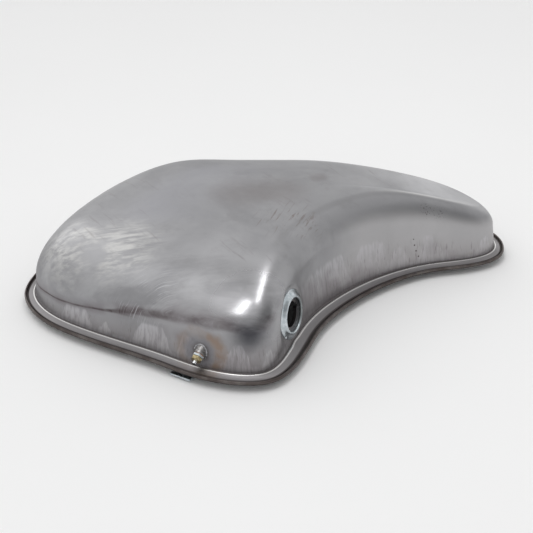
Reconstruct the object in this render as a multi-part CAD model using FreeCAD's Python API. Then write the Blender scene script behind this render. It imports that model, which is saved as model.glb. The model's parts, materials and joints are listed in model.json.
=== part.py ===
import FreeCAD, Part
import math
import os

# Pressed-steel fuel tank for a small vehicle: a deep-drawn upper shell seam-welded to a shallow
# bottom pan, with a raised bayonet filler neck on one side wall and an outlet union on the front wall.
# Frame: origin under the middle of the tank on the plane that it rests on, +Z up, +X towards the
# filler side, +Y towards the narrow tail. Millimetres.

V = FreeCAD.Vector

# ---- sheet and shell
SHEET = 1.0
SEAM_Z = 13.0            # top of the upper shell's flange where the wall starts
DRAFT = math.radians(8)  # lean of the walls
CROWN_Z = 112.0          # highest point of the dome
DOME_CENTRE = (12.0, 38.0)

# Stations round the tank, counter-clockwise from the front left corner:
# wall foot x, y; inner end of the shoulder x, y; height where the shoulder starts; flange width.
STATIONS = [
    (-185, -210, -140, -152, 38, 13),
    (-110, -226, -85, -132, 46, 14),
    (0, -227, -5, -122, 55, 15),
    (78, -224, 44, -120, 58, 15),
    (114, -203, 57, -110, 62, 16),
    (117, -159, 60, -92, 70, 19),
    (108, -94, 59, -62, 79, 20),
    (116, -20, 68, -4, 80, 19),
    (145, 54, 102, 76, 76, 16),
    (188, 110, 152, 123, 62, 13),
    (224, 143, 195, 158, 50, 13),
    (241, 178, 212, 181, 46, 13),
    (231, 203, 207, 195, 44, 13),
    (188, 224, 171, 200, 46, 14),
    (105, 202, 98, 160, 53, 15),
    (10, 164, 16, 118, 61, 15),
    (-100, 116, -80, 68, 61, 15),
    (-178, 74, -142, 36, 56, 15),
    (-219, 10, -160, -20, 46, 14),
    (-235, -74, -163, -78, 36, 13),
    (-229, -149, -162, -120, 34, 13),
    (-214, -186, -155, -142, 35, 13),
]

# ---- how the dome falls away from its top, each fall in mm per mm squared
TAIL_HEADING = math.radians(45)
TAIL_ORIGIN = (10.0, -14.0)  # the tail's heading is measured from here
TAIL_START = 80.0
TAIL_FALL = 0.0010
LEFT_FALL = 0.00016
FRONT_START = -24.0
FRONT_FALL = 0.0004
CROWN_FALL = 0.00004

# ---- filler neck, on the side wall near the front right corner
FILLER_AT = V(108.5, -133, 47.5)
FILLER_TURN = 4.0        # degrees from +X towards +Y
FILLER_TILT = 7.5        # degrees above the horizontal, square to the leaning wall
NECK_OUTER_R = 29.0
WELD_CIRCLE_R = 27.7     # spot welds through the rim
SPOT_WELDS = 4
FIRST_WELD_TURN = 40     # degrees
WELD_DIMPLE_R = 1.3
WELD_DIMPLE_HIGH = 2.0   # height of the dimple's centre over the seat
PLATE_LOW = -0.8         # the mouth plate's two faces, along the filler's axis from the seat
PLATE_HIGH = 0.4
SLEEVE_LOW = -26.0
SLEEVE_R = 18.4
SLEEVE_WALL = 1.0
VENT = (10.0, 8.0, 5.0)  # slot through the sleeve: depth, width, height
VENT_AT = (12.0, -9.0)   # its distance from the axis and its lower edge
MOUTH_R = 15.0
MOUTH_COLLAR = 1.2       # thickness of the collar round the mouth
MOUTH_COLLAR_LOW = -3.6
NOTCH_TURN = 110         # degrees round the mouth to the first bayonet notch
NOTCH_WIDTH = 7.0
NOTCH_REACH = 17.5       # from the axis to the notch's end
CUP_R = 19.4             # inside of the neck's wall
SEAT_R = 30.5
SKIRT_LOW = -9.0         # how deep the seat's skirt runs to meet the curved wall
BACKING_LOW = -2.2
BREATHER_R = 3.0
BREATHER_BORE_R = 2.2
BREATHER_BEND_R = 14.0
BREATHER_ROOT = (-18.0, 18.6)  # where it leaves the sleeve: along and up from the filler's axis
BREATHER_TURN = V(79, -133, 92)
BREATHER_END = V(20, -60, 103)

# ---- outlet union, low on the front wall
OUTLET_AT = V(45.5, -225.3, 31)
OUTLET_TILT = -26.0      # degrees, below the horizontal
BOSS_R = 7.5
BOSS_BORE_R = 5.5
BOSS_FIT = 0.1           # radial play of the boss's spigot in the shell's hole
BOSS_SPIGOT_LOW = -9.0
BOSS_END = 4.8           # distances along the outlet's axis from the wall
ADAPTER_START = 5.3
ADAPTER_HEX_END = 7.8
SPIGOT_END = 9.8
NUT_START = 8.1
NUT_END = 12.2
NUT_LIP = 1.4
PIPE_END = 16.6
WASHER_R = 6.4
WASHER_BORE_R = 3.4
WELD_GAP = 0.4           # from the wall to the flat foot of the outlet boss, filled by the weld
ADAPTER_FLATS = 12.0
ADAPTER_CONE = (7.44, 6.0, 2.9)  # turned chamfer on the hexagon: radii and height
NUT_FLATS = 11.0
NUT_CONE_R = (7.04, 5.28)  # the same on the union nut, over its whole length
SPIGOT_R = 4.0
FUEL_BORE_R = 1.6
OLIVE_R = (3.1, 3.6)     # at its ends and its middle
OLIVE_PLAY = 0.1
PIPE_R = 2.5             # free end, swaged out once the nut is on
PIPE_NECK_R = 2.2
RUNNING_GAP = 0.06       # radial gap between the loose union nut and what it turns on

# ---- pickup inside the tank
PICKUP_R = 3.0
PICKUP_Z = 12.0
STRAINER_R = 6.5
STRAINER_START_Y = -186.0
STRAINER_END_Y = -146.0
GAUZE_WALL = 0.6
COLLAR_R = 4.4           # strainer collar's grip on the tube
COLLAR_REACH = (3.0, 4.0)  # outside and inside the gauze
CAP_REACH = (4.0, 1.2)   # strainer cap, inside and outside the gauze
PICKUP_BEND_R = 5.0
PICKUP_STRAIGHT = (9.0, 26.0)  # straight run from the boss, start and end
PICKUP_TURN_Y = -196.0
PICKUP_IN_STRAINER = 8.0
CLIP_WALL = 1.0
CLIP_GAP = 0.1           # between the clip and the gauze
CLIP_LENGTH = 8.0
CLIP_SPAN = 34.0         # over both feet
CLIP_OFFSET = 4.0        # from the strainer's middle to the clip's near edge

# ---- anti-surge baffles
BAFFLE_GAP = 2.5         # from the inside of the shell
BAFFLE_TOP = 92.0
BAFFLE_LOW = 18.0        # lower edge of the wide part
BAFFLE_HOLE_R = 13.0
BAFFLE_HOLE_Z = 46.0
BAFFLE_FOOT_TOP = 20.0
BAFFLE_FLANGE = 12.0

# ---- mounting brackets under the flange
BRACKET_WIDTH = 26.0
BRACKET_LOW = 2.5
BRACKET_HIGH = 4.5
THREAD_HOLE_R = 2.5      # minor radius of the M6 weld nuts
PILOT_R = 3.3            # collar of the weld nut, set in the bracket's hole
WELD_NUT_FLATS = 10.0
WELD_NUT_TOP = 8.5
NUT_SETBACK = 4.0        # from the wall foot out to the nut

# ---- bottom pan
PAN_INSET = 24.0         # from the wall foot to the edge of the pan's floor
PAN_SIDE_TOP = (6.0, 9.2)  # distance from the wall foot and height of the top of the pan's side
PAN_STEP = (2.0, 11.0)   # the same for the step under the wall foot
PAN_STEP_OVER = (2.4, 12.0)  # the pan's upper face at the step, the side and the floor
PAN_SIDE_OVER = (6.6, 10.2)
PAN_FLOOR_OVER = (24.4, 1.0)
RIB_HEIGHT = 3.0
RIB_R = 9.0

FAR = 800.0              # longer than the whole tank
DEEP = 20.0              # deeper than any wall is thick
OPEN_FOOT_Z = SEAM_Z - 4  # below the shell, so that its inside is open


# ------------------------------------------------------------------ the dome's surface

def crown_height(x, y):
    """Height of the dome's top over a point in plan: level in the middle, falling to the tail."""
    east = (x - TAIL_ORIGIN[0]) * math.cos(TAIL_HEADING)
    along = east + (y - TAIL_ORIGIN[1]) * math.sin(TAIL_HEADING)
    tail = max(0.0, along - TAIL_START)
    left = max(0.0, -x)
    front = max(0.0, FRONT_START - y)
    middle = (x - DOME_CENTRE[0]) ** 2 + (y - DOME_CENTRE[1]) ** 2
    fall = TAIL_FALL * tail**2 + LEFT_FALL * left**2 + FRONT_FALL * front**2
    return CROWN_Z - fall - CROWN_FALL * middle


def closed_spline(points, knots):
    """A smooth closed curve through the points, as an edge."""
    curve = Part.BSplineCurve()
    curve.interpolate(Points=points, PeriodicFlag=True, Parameters=knots)
    return curve.toShape()


def chord_knots(points):
    """Distances round the closed outline to each point, and back to the first."""
    knots = [0.0]
    for i, point in enumerate(points):
        after = points[(i + 1) % len(points)]
        knots.append(knots[-1] + (after - point).Length)
    return knots


FOOT = [V(s[0], s[1], 0) for s in STATIONS]
KNOTS = chord_knots(FOOT)


def outward_normals():
    """Unit vectors square to the wall's foot at each station, pointing out of the tank."""
    curve = closed_spline(FOOT, KNOTS).Curve
    normals = []
    for knot in KNOTS[:-1]:
        along = curve.tangent(knot)[0]
        normals.append(V(along.y, -along.x, 0).normalize())
    return normals


NORMALS = outward_normals()


def ring(offsets, z):
    """A closed curve at height z, offset outwards from the wall's foot by one distance a station."""
    points = [p + n * d + V(0, 0, z) for p, n, d in zip(FOOT, NORMALS, offsets)]
    return Part.Wire([closed_spline(points, KNOTS)])


def flange_ring(share, z):
    """A closed curve on the flange, at a share of its width from the wall."""
    return ring([share * s[5] for s in STATIONS], z)


def inset_ring(distance, z):
    """A closed curve inside the wall's foot."""
    return ring([-distance] * len(STATIONS), z)


def lean(height):
    """How far the wall has leant in at a height."""
    return math.tan(DRAFT) * (height - SEAM_Z)


def shoulder_point(station, normal, depth, turn):
    """A point on the shoulder, turn radians from where it leaves the wall, depth under the skin."""
    foot = V(station[0], station[1], 0) - normal * depth
    end = V(station[2], station[3], 0)
    reach = (end - foot).Length
    inward = (end - foot) / reach
    wall_top = station[4]
    start = lean(wall_top)
    plan = foot + inward * (start + (reach - start) * (1 - math.cos(turn)))
    corner = foot + inward * start
    drop = crown_height(corner.x, corner.y) - wall_top
    z = crown_height(plan.x, plan.y) - depth - (drop - depth) * (1 - math.sin(turn))
    return V(plan.x, plan.y, z)


def wall_point(station, normal, depth, z):
    """A point on the straight wall at a height."""
    foot = V(station[0], station[1], 0) - normal * depth
    end = V(station[2], station[3], 0)
    inward = (end - foot).normalize()
    return foot + inward * lean(z) + V(0, 0, z)


def wall_row(depth, share):
    """Points round the straight wall, at a share of its height."""
    row = []
    for station, normal in zip(STATIONS, NORMALS):
        z = SEAM_Z + (station[4] - SEAM_Z) * share
        row.append(wall_point(station, normal, depth, z))
    return row


def crown_point(station, depth, share):
    """A point on the top, at a share of the way from the shoulder to the dome's centre."""
    x = station[2] + (DOME_CENTRE[0] - station[2]) * share
    y = station[3] + (DOME_CENTRE[1] - station[3]) * share
    return V(x, y, crown_height(x, y) - depth)


# Rows of the dome's skin: shares up the wall, degrees round the shoulder, shares in to the centre.
WALL_SHARES = (0.0, 0.35, 0.7, 0.94)
SHOULDER_TURNS = (12, 26, 40, 54, 68, 80)
CROWN_SHARES = (0.07, 0.2, 0.35, 0.5, 0.65, 0.8, 0.9)
LAST_CROWN_SHARE = 0.96


def dome_solid(depth, foot_z):
    """The dome as a solid whose skin lies depth under the outside, down to a level foot."""
    pairs = list(zip(STATIONS, NORMALS))
    rows = [[wall_point(s, n, depth, foot_z) for s, n in pairs]]
    rows += [wall_row(depth, share) for share in WALL_SHARES]
    for degrees in SHOULDER_TURNS:
        rows.append([shoulder_point(s, n, depth, math.radians(degrees)) for s, n in pairs])
    rows += [[crown_point(s, depth, share) for s in STATIONS] for share in CROWN_SHARES]
    top = [crown_point(s, depth, LAST_CROWN_SHARE) for s in STATIONS]
    rows.append([V(p.x, p.y, CROWN_Z - depth) for p in top])
    wires = [Part.Wire([closed_spline(row, KNOTS)]) for row in rows]
    return Part.makeLoft(wires, True, False)


def ruled_solid(wires):
    """A solid bounded by flat-sided bands between the wires, closed over the first and the last."""
    return Part.makeLoft(wires, True, True)


# ------------------------------------------------------------------ small helpers

def facing(direction, at):
    """The placement that turns +Z to a direction and moves the origin to a point."""
    return FreeCAD.Placement(at, FreeCAD.Rotation(V(0, 0, 1), direction))


def filler_direction():
    turn = math.radians(FILLER_TURN)
    tilt = math.radians(FILLER_TILT)
    return V(math.cos(tilt) * math.cos(turn), math.cos(tilt) * math.sin(turn), math.sin(tilt))


def outlet_direction():
    tilt = math.radians(OUTLET_TILT)
    return V(0, -math.cos(tilt), math.sin(tilt))


FILLER_AXIS = filler_direction()
OUTLET_AXIS = outlet_direction()
FILLER_PLACE = facing(FILLER_AXIS, FILLER_AT)
OUTLET_PLACE = facing(OUTLET_AXIS, OUTLET_AT)


def placed(shape, placement):
    moved = shape.copy()
    moved.Placement = placement.multiply(moved.Placement)
    return moved


def turned(profile):
    """A solid of revolution about +Z from a closed outline of (radius, height) points."""
    points = [V(r, 0, z) for r, z in profile]
    face = Part.Face(Part.makePolygon(points + points[:1]))
    return face.revolve(V(0, 0, 0), V(0, 0, 1), 360)


def tube(outer, inner, low, high):
    return turned([(inner, low), (outer, low), (outer, high), (inner, high)])


def through_hole(radius):
    """A cylinder about +Z that goes right through a wall at the origin."""
    return Part.makeCylinder(radius, 2 * DEEP, V(0, 0, -DEEP))


def hexagon(flats, low, high):
    """A hexagonal prism about +Z."""
    radius = flats / 2 / math.cos(math.radians(30))
    points = []
    for i in range(6):
        angle = math.radians(60 * i)
        points.append(V(radius * math.cos(angle), radius * math.sin(angle), low))
    return Part.Face(Part.makePolygon(points + points[:1])).extrude(V(0, 0, high - low))


def slot_prism(start, end, radius, low, high):
    """An upright prism with round ends about two points in plan."""
    a = V(start[0], start[1], low)
    b = V(end[0], end[1], low)
    side = (b - a).normalize().cross(V(0, 0, 1)) * radius
    ahead = (b - a).normalize() * radius
    edges = [
        Part.LineSegment(a + side, b + side).toShape(),
        Part.Arc(b + side, b + ahead, b - side).toShape(),
        Part.LineSegment(b - side, a - side).toShape(),
        Part.Arc(a - side, a - ahead, a + side).toShape(),
    ]
    return Part.Face(Part.Wire(edges)).extrude(V(0, 0, high - low))


# ------------------------------------------------------------------ shells

# Flange of the upper shell from the wall outwards, as (share of the flange's width, height):
# a rounded bead, a sloping step and a level land that the seam weld runs along.
SHELL_FLANGE = [(0.0, 13.0), (0.08, 13.7), (0.16, 13.6), (0.26, 12.6), (0.5, 11.2), (0.72, 10.6)]


def flange_solid():
    """The upper shell's flange, one sheet thick, running in under the wall's foot."""
    top = [flange_ring(share, z) for share, z in SHELL_FLANGE]
    under = [flange_ring(share, z - SHEET) for share, z in reversed(SHELL_FLANGE)]
    loop = [inset_ring(SHEET / 2, SEAM_Z)] + top + under + [inset_ring(SHEET / 2, SEAM_Z - SHEET)]
    outer = ruled_solid(loop)
    return outer.cut(inner_block())


def inner_block():
    """A block inside the wall's foot that opens the flange's middle."""
    base = Part.Face(inset_ring(SHEET / 2, SEAM_Z - 3 * SHEET))
    return base.extrude(V(0, 0, 6 * SHEET))


def filler_seat():
    """The flat pressed round the filler hole, with the skirt that joins it to the curved wall."""
    seat = tube(SEAT_R, CUP_R + SHEET, -SHEET, 0)
    skirt = tube(SEAT_R, SEAT_R - SHEET, SKIRT_LOW, 0)
    return placed(seat.fuse(skirt), FILLER_PLACE)


def upper_shell():
    outside = dome_solid(0, SEAM_Z - SHEET)
    inside = dome_solid(SHEET, OPEN_FOOT_Z)
    shell = outside.cut(inside)
    window = placed(through_hole(SEAT_R - SHEET / 2), FILLER_PLACE)
    shell = shell.cut(window).fuse(filler_seat())
    hole = placed(through_hole(BOSS_BORE_R), OUTLET_PLACE)
    shell = shell.cut(hole)
    return shell.fuse(flange_solid())


# Rolled lip of the pan, out and up and then back, as (share of the flange's width, height).
PAN_LIP_OUT = [(0.78, 8.4), (0.84, 9.4), (0.86, 8.0), (1.0, 8.0), (1.02, 10.4), (0.97, 12.2)]
PAN_LIP_BACK = [(0.9, 12.6), (0.83, 12.0), (0.79, 10.0), (0.75, 9.6)]


def bottom_pan():
    """The pan from its floor out to the lip and back, its land against the shell's flange."""
    under = [inset_ring(PAN_INSET, 0), inset_ring(*PAN_SIDE_TOP), inset_ring(*PAN_STEP)]
    under += [flange_ring(share, z - 2 * SHEET) for share, z in SHELL_FLANGE[:-1]]
    lip = [flange_ring(share, z) for share, z in PAN_LIP_OUT + PAN_LIP_BACK]
    over = [flange_ring(share, z - SHEET) for share, z in reversed(SHELL_FLANGE)]
    inner = [inset_ring(*row) for row in (PAN_STEP_OVER, PAN_SIDE_OVER, PAN_FLOOR_OVER)]
    return ruled_solid(under + lip + over + inner)


# Pressed ribs in the pan's floor: start x, y and end x, y.
RIBS = [
    (-130, -165, 6, -165),
    (-150, -95, 40, -95),
    (-150, -20, 60, -20),
    (-60, 45, 90, 45),
    (122, 121, 182, 175),
]


def ribbed_pan():
    pan = bottom_pan()
    for x0, y0, x1, y1 in RIBS:
        pan = pan.fuse(slot_prism((x0, y0), (x1, y1), RIB_R, SHEET / 2, SHEET + RIB_HEIGHT))
        pan = pan.cut(slot_prism((x0, y0), (x1, y1), RIB_R - SHEET, -SHEET, RIB_HEIGHT))
    return pan


# ------------------------------------------------------------------ filler neck

def neck_ring():
    """Plated pressing: a flat rim spot-welded to the seat, rising to a rolled crest."""
    outside = [(NECK_OUTER_R, 0), (NECK_OUTER_R, 0.9), (26.6, 1.3), (24.8, 2.4), (23.0, 4.2), (21.8, 5.0)]
    crest = [(20.9, 5.2), (20.1, 5.0), (19.6, 4.4), (CUP_R, 3.6), (CUP_R, PLATE_LOW)]
    inside = [(CUP_R + SHEET, PLATE_LOW), (CUP_R + SHEET, 3.3), (21.0, 3.9), (22.2, 3.5), (23.8, 1.8)]
    ring_body = turned(outside + crest + inside + [(26.2, 0.1), (26.6, 0)])
    for i in range(SPOT_WELDS):
        angle = math.radians(FIRST_WELD_TURN + 360 * i / SPOT_WELDS)
        weld = V(WELD_CIRCLE_R * math.cos(angle), WELD_CIRCLE_R * math.sin(angle), WELD_DIMPLE_HIGH)
        ring_body = ring_body.cut(Part.makeSphere(WELD_DIMPLE_R, weld))
    return placed(ring_body, FILLER_PLACE)


def bayonet_plate():
    """The plate that the cap locks on: a round mouth with a collar and two opposed notches."""
    plate = tube(CUP_R, MOUTH_R, PLATE_LOW, PLATE_HIGH)
    plate = plate.fuse(tube(MOUTH_R + MOUTH_COLLAR, MOUTH_R, MOUTH_COLLAR_LOW, 0))
    corner = V(-NOTCH_REACH, -NOTCH_WIDTH / 2, -DEEP)
    notches = Part.makeBox(2 * NOTCH_REACH, NOTCH_WIDTH, 2 * DEEP, corner)
    notches.rotate(V(0, 0, 0), V(0, 0, 1), NOTCH_TURN)
    plate = plate.cut(notches)
    return placed(plate, FILLER_PLACE)


def neck_sleeve():
    """Splash sleeve inside the mouth, with a vent slot near its root."""
    sleeve = tube(SLEEVE_R, SLEEVE_R - SLEEVE_WALL, SLEEVE_LOW, PLATE_LOW)
    vent = Part.makeBox(*VENT, V(VENT_AT[0], -VENT[1] / 2, VENT_AT[1]))
    return placed(sleeve.cut(vent), FILLER_PLACE)


def neck_backing_ring():
    """Doubler behind the seat that the spot welds go through to."""
    return placed(tube(NECK_OUTER_R, CUP_R + SHEET, BACKING_LOW, -SHEET), FILLER_PLACE)


def bent_tube(points, bend_r, outer, inner):
    """A round tube along straight runs joined by tangent arcs."""
    edges = []
    start = points[0]
    for i in range(1, len(points) - 1):
        back = (points[i - 1] - points[i]).normalize()
        ahead = (points[i + 1] - points[i]).normalize()
        half = back.getAngle(ahead) / 2
        reach = bend_r / math.tan(half)
        arc_in = points[i] + back * reach
        arc_out = points[i] + ahead * reach
        bisector = (back + ahead).normalize()
        middle = points[i] + bisector * (bend_r / math.sin(half) - bend_r)
        edges.append(Part.LineSegment(start, arc_in).toShape())
        edges.append(Part.Arc(arc_in, middle, arc_out).toShape())
        start = arc_out
    edges.append(Part.LineSegment(start, points[-1]).toShape())
    path = Part.Wire(edges)
    heading = (points[1] - points[0]).normalize()
    solids = []
    for radius in (outer, inner):
        section = Part.Wire([Part.makeCircle(radius, points[0], heading)])
        solids.append(path.makePipeShell([section], True, False))
    return solids[0].cut(solids[1])


def breather_tube():
    """Lets air out from under the crown into the sleeve while the tank is filled."""
    along, up = BREATHER_ROOT
    root = FILLER_PLACE.multVec(V(-up, 0, along))
    return bent_tube([root, BREATHER_TURN, BREATHER_END], BREATHER_BEND_R, BREATHER_R, BREATHER_BORE_R)


# ------------------------------------------------------------------ outlet

def wall_behind_outlet():
    """A block that fills the inner side of the wall's plane at the outlet."""
    curve = closed_spline(FOOT, KNOTS).Curve
    along = curve.tangent(curve.parameter(V(OUTLET_AT.x, OUTLET_AT.y, 0)))[0]
    outward = V(along.y, -along.x, 0) * math.cos(DRAFT) + V(0, 0, math.sin(DRAFT))
    block = Part.makeBox(DEEP, DEEP, DEEP, V(-DEEP / 2, -DEEP / 2, -DEEP))
    return placed(block, facing(outward, OUTLET_AT + outward * WELD_GAP))


def outlet_boss():
    """Welded boss: a disc with its foot flat on the leaning wall, and a spigot through the hole."""
    disc = placed(Part.makeCylinder(BOSS_R, DEEP / 2, V(0, 0, BOSS_END - DEEP / 2)), OUTLET_PLACE)
    disc = disc.cut(wall_behind_outlet())
    length = BOSS_END - BOSS_SPIGOT_LOW
    spigot = Part.makeCylinder(BOSS_BORE_R - BOSS_FIT, length, V(0, 0, BOSS_SPIGOT_LOW))
    bore = through_hole(PICKUP_R)
    return disc.fuse(placed(spigot, OUTLET_PLACE)).cut(placed(bore, OUTLET_PLACE))


def sealing_washer():
    return placed(tube(WASHER_R, WASHER_BORE_R, BOSS_END, ADAPTER_START), OUTLET_PLACE)


def outlet_adapter():
    """Plated hexagon with a tail screwed into the boss and a short spigot for the union nut."""
    body = hexagon(ADAPTER_FLATS, ADAPTER_START, ADAPTER_HEX_END)
    body = body.fuse(Part.makeCylinder(SPIGOT_R, SPIGOT_END - ADAPTER_HEX_END, V(0, 0, ADAPTER_HEX_END)))
    body = body.fuse(Part.makeCylinder(PICKUP_R, ADAPTER_START, V(0, 0, 0)))
    round_off = Part.makeCone(*ADAPTER_CONE, V(0, 0, ADAPTER_START))
    body = body.common(round_off.fuse(Part.makeCylinder(SPIGOT_R, SPIGOT_END)))
    bore = Part.makeCylinder(FUEL_BORE_R, SPIGOT_END)
    return placed(body.cut(bore), OUTLET_PLACE)


def union_nut():
    """Brass nut, loose on the spigot and the pipe, free to turn."""
    body = hexagon(NUT_FLATS, NUT_START, NUT_END)
    round_off = Part.makeCone(*NUT_CONE_R, NUT_END - NUT_START, V(0, 0, NUT_START))
    body = body.common(round_off)
    cavity = Part.makeCylinder(SPIGOT_R + RUNNING_GAP, NUT_END - NUT_LIP - NUT_START, V(0, 0, NUT_START))
    hole = through_hole(PIPE_NECK_R + RUNNING_GAP)
    return placed(body.cut(cavity).cut(hole), OUTLET_PLACE)


def olive():
    """Compression ring on the pipe, between the spigot and the nut's lip."""
    low = SPIGOT_END + OLIVE_PLAY
    high = NUT_END - NUT_LIP - OLIVE_PLAY
    end_r, middle_r = OLIVE_R
    outside = [(end_r, low), (middle_r, (low + high) / 2), (end_r, high)]
    return placed(turned([(PIPE_NECK_R, low)] + outside + [(PIPE_NECK_R, high)]), OUTLET_PLACE)


def pipe_stub():
    """Bright stub of fuel pipe that the hose pushes onto."""
    neck = [(FUEL_BORE_R, SPIGOT_END), (PIPE_NECK_R, SPIGOT_END), (PIPE_NECK_R, NUT_END)]
    free_end = [(PIPE_R, NUT_END), (PIPE_R, PIPE_END), (FUEL_BORE_R, PIPE_END)]
    return placed(turned(neck + free_end), OUTLET_PLACE)


def pickup_tube():
    """From the boss down to the strainer, which lies just above the floor."""
    near, far = (OUTLET_AT - OUTLET_AXIS * distance for distance in PICKUP_STRAIGHT)
    turn = V(OUTLET_AT.x, PICKUP_TURN_Y, PICKUP_Z)
    end = V(OUTLET_AT.x, STRAINER_START_Y + PICKUP_IN_STRAINER, PICKUP_Z)
    return bent_tube([near, far, turn, end], PICKUP_BEND_R, PICKUP_R, FUEL_BORE_R)


def towards_tail(shape, y):
    """Lays a shape made along +Z on the pickup's level line, starting at y."""
    return placed(shape, facing(V(0, 1, 0), V(OUTLET_AT.x, y, PICKUP_Z)))


def strainer_gauze():
    length = STRAINER_END_Y - STRAINER_START_Y
    return towards_tail(tube(STRAINER_R, STRAINER_R - GAUZE_WALL, 0, length), STRAINER_START_Y)


def strainer_collar():
    """Holds the near end of the gauze on the pickup tube."""
    gauze_r = STRAINER_R - GAUZE_WALL
    low = -COLLAR_REACH[0]
    high = COLLAR_REACH[1]
    outside = [(COLLAR_R, low), (COLLAR_R, 0), (gauze_r, 0), (gauze_r, high)]
    return towards_tail(turned([(PICKUP_R, low)] + outside + [(PICKUP_R, high)]), STRAINER_START_Y)


def strainer_cap():
    gauze_r = STRAINER_R - GAUZE_WALL
    low = -CAP_REACH[0]
    high = CAP_REACH[1]
    outside = [(gauze_r, low), (gauze_r, 0), (STRAINER_R, 0), (STRAINER_R, high)]
    return towards_tail(turned([(0, low)] + outside + [(0, high)]), STRAINER_END_Y)


def clip_arch(radius, y):
    """A round-topped block over the strainer, down to the floor."""
    x = OUTLET_AT.x
    top = Part.makeCylinder(radius, CLIP_LENGTH, V(x, y, PICKUP_Z), V(0, 1, 0))
    return top.fuse(Part.makeBox(2 * radius, CLIP_LENGTH, PICKUP_Z - SHEET, V(x - radius, y, SHEET)))


def pickup_clip():
    """Strap over the gauze with two feet on the floor."""
    y = (STRAINER_START_Y + STRAINER_END_Y) / 2 + CLIP_OFFSET
    feet = Part.makeBox(CLIP_SPAN, CLIP_LENGTH, CLIP_WALL, V(OUTLET_AT.x - CLIP_SPAN / 2, y, SHEET))
    outside = clip_arch(STRAINER_R + CLIP_GAP + CLIP_WALL, y)
    return outside.fuse(feet).cut(clip_arch(STRAINER_R + CLIP_GAP, y))


# ------------------------------------------------------------------ baffles

def baffle(middle, heading, tongue, holes):
    """Upright plate across the tank, scribed to the dome, on a narrower foot with a welded flange.

    middle is its place in plan, heading its turn in degrees, tongue half the foot's width, and
    holes how far each hole lies from the middle.
    """
    across = FreeCAD.Placement(V(middle[0], middle[1], 0), FreeCAD.Rotation(V(0, 0, 1), heading))
    normal = across.Rotation.multVec(V(0, 1, 0))
    outline = dome_solid(SHEET + BAFFLE_GAP, 0).slice(normal, normal.dot(across.Base))[0]
    plate = Part.Face(outline).extrude(normal * SHEET)
    band = Part.makeBox(FAR, FAR, BAFFLE_TOP - BAFFLE_LOW, V(-FAR / 2, -FAR / 2, BAFFLE_LOW))
    plate = plate.common(band)
    foot = Part.makeBox(2 * tongue, SHEET, BAFFLE_FOOT_TOP - SHEET, V(-tongue, 0, SHEET))
    flange = Part.makeBox(2 * tongue, BAFFLE_FLANGE, SHEET, V(-tongue, 0, SHEET))
    for offset in holes:
        hole = Part.makeCylinder(BAFFLE_HOLE_R, 2 * DEEP, V(offset, -DEEP, BAFFLE_HOLE_Z), V(0, 1, 0))
        plate = plate.cut(placed(hole, across))
    return plate.fuse(placed(foot, across)).fuse(placed(flange, across))


def front_baffle():
    return baffle((-60, -60), 0, 95, (-120, -60, 0, 60, 120))


def tail_baffle():
    return baffle((95, 100), -40, 28, (-22, 22))


# ------------------------------------------------------------------ mounting brackets

def edge_place(distance):
    """A frame on the wall's foot, a distance round from the first station, with +Y outwards."""
    curve = closed_spline(FOOT, KNOTS).Curve
    point = curve.value(distance)
    along = curve.tangent(distance)[0]
    outward = V(along.y, -along.x, 0)
    angle = math.degrees(math.atan2(outward.y, outward.x)) - 90
    return FreeCAD.Placement(point, FreeCAD.Rotation(V(0, 0, 1), angle))


# For each bracket, its distance round the wall's foot and how far it stands out.
BRACKETS = {
    "front_bracket": (KNOTS[2] + 30, 16.0),
    "left_bracket": (KNOTS[19] - 20, 14.0),
    "rear_bracket": (KNOTS[15] - 40, 15.0),
}


def pan_core():
    """Everything inside the pan's floor and sloping side."""
    return ruled_solid([inset_ring(PAN_INSET, 0), inset_ring(*PAN_SIDE_TOP)])


def bracket(distance, reach):
    """Plated strip under the flange, its inner end scribed to the pan's sloping side."""
    corner = V(-BRACKET_WIDTH / 2, -PAN_INSET, BRACKET_LOW)
    body = Part.makeBox(BRACKET_WIDTH, PAN_INSET + reach, BRACKET_HIGH - BRACKET_LOW, corner)
    hole = Part.makeCylinder(PILOT_R + RUNNING_GAP, DEEP, V(0, NUT_SETBACK, 0))
    return placed(body.cut(hole), edge_place(distance)).cut(pan_core())


def weld_nuts():
    """Three nuts, each with its collar down through a bracket."""
    nuts = []
    for distance, _ in BRACKETS.values():
        nut = hexagon(WELD_NUT_FLATS, BRACKET_HIGH, WELD_NUT_TOP)
        nut = nut.fuse(Part.makeCylinder(PILOT_R, BRACKET_HIGH - BRACKET_LOW, V(0, 0, BRACKET_LOW)))
        nut = nut.cut(Part.makeCylinder(THREAD_HOLE_R, WELD_NUT_TOP))
        nut.translate(V(0, NUT_SETBACK, 0))
        nuts.append(placed(nut, edge_place(distance)))
    return Part.Compound(nuts)


def save(name, shape):
    assert shape.isValid(), name
    shape.exportStep("parts/" + name + ".step")
    print(name, len(shape.Solids), round(shape.Volume / 1000, 2), "cm3")


def main():
    os.makedirs("parts", exist_ok=True)
    save("upper_shell", upper_shell())
    save("bottom_pan", ribbed_pan())
    save("neck_ring", neck_ring())
    save("bayonet_plate", bayonet_plate())
    save("neck_sleeve", neck_sleeve())
    save("neck_backing_ring", neck_backing_ring())
    save("breather_tube", breather_tube())
    save("outlet_boss", outlet_boss())
    save("sealing_washer", sealing_washer())
    save("outlet_adapter", outlet_adapter())
    save("union_nut", union_nut())
    save("olive", olive())
    save("pipe_stub", pipe_stub())
    save("pickup_tube", pickup_tube())
    save("strainer_gauze", strainer_gauze())
    save("strainer_collar", strainer_collar())
    save("strainer_cap", strainer_cap())
    save("pickup_clip", pickup_clip())
    save("front_baffle", front_baffle())
    save("tail_baffle", tail_baffle())
    for name, (distance, reach) in BRACKETS.items():
        save(name, bracket(distance, reach))
    save("weld_nuts", weld_nuts())


main()
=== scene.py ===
import json
import math

import bpy
import numpy as np
from mathutils import Matrix, Vector, noise


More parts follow.
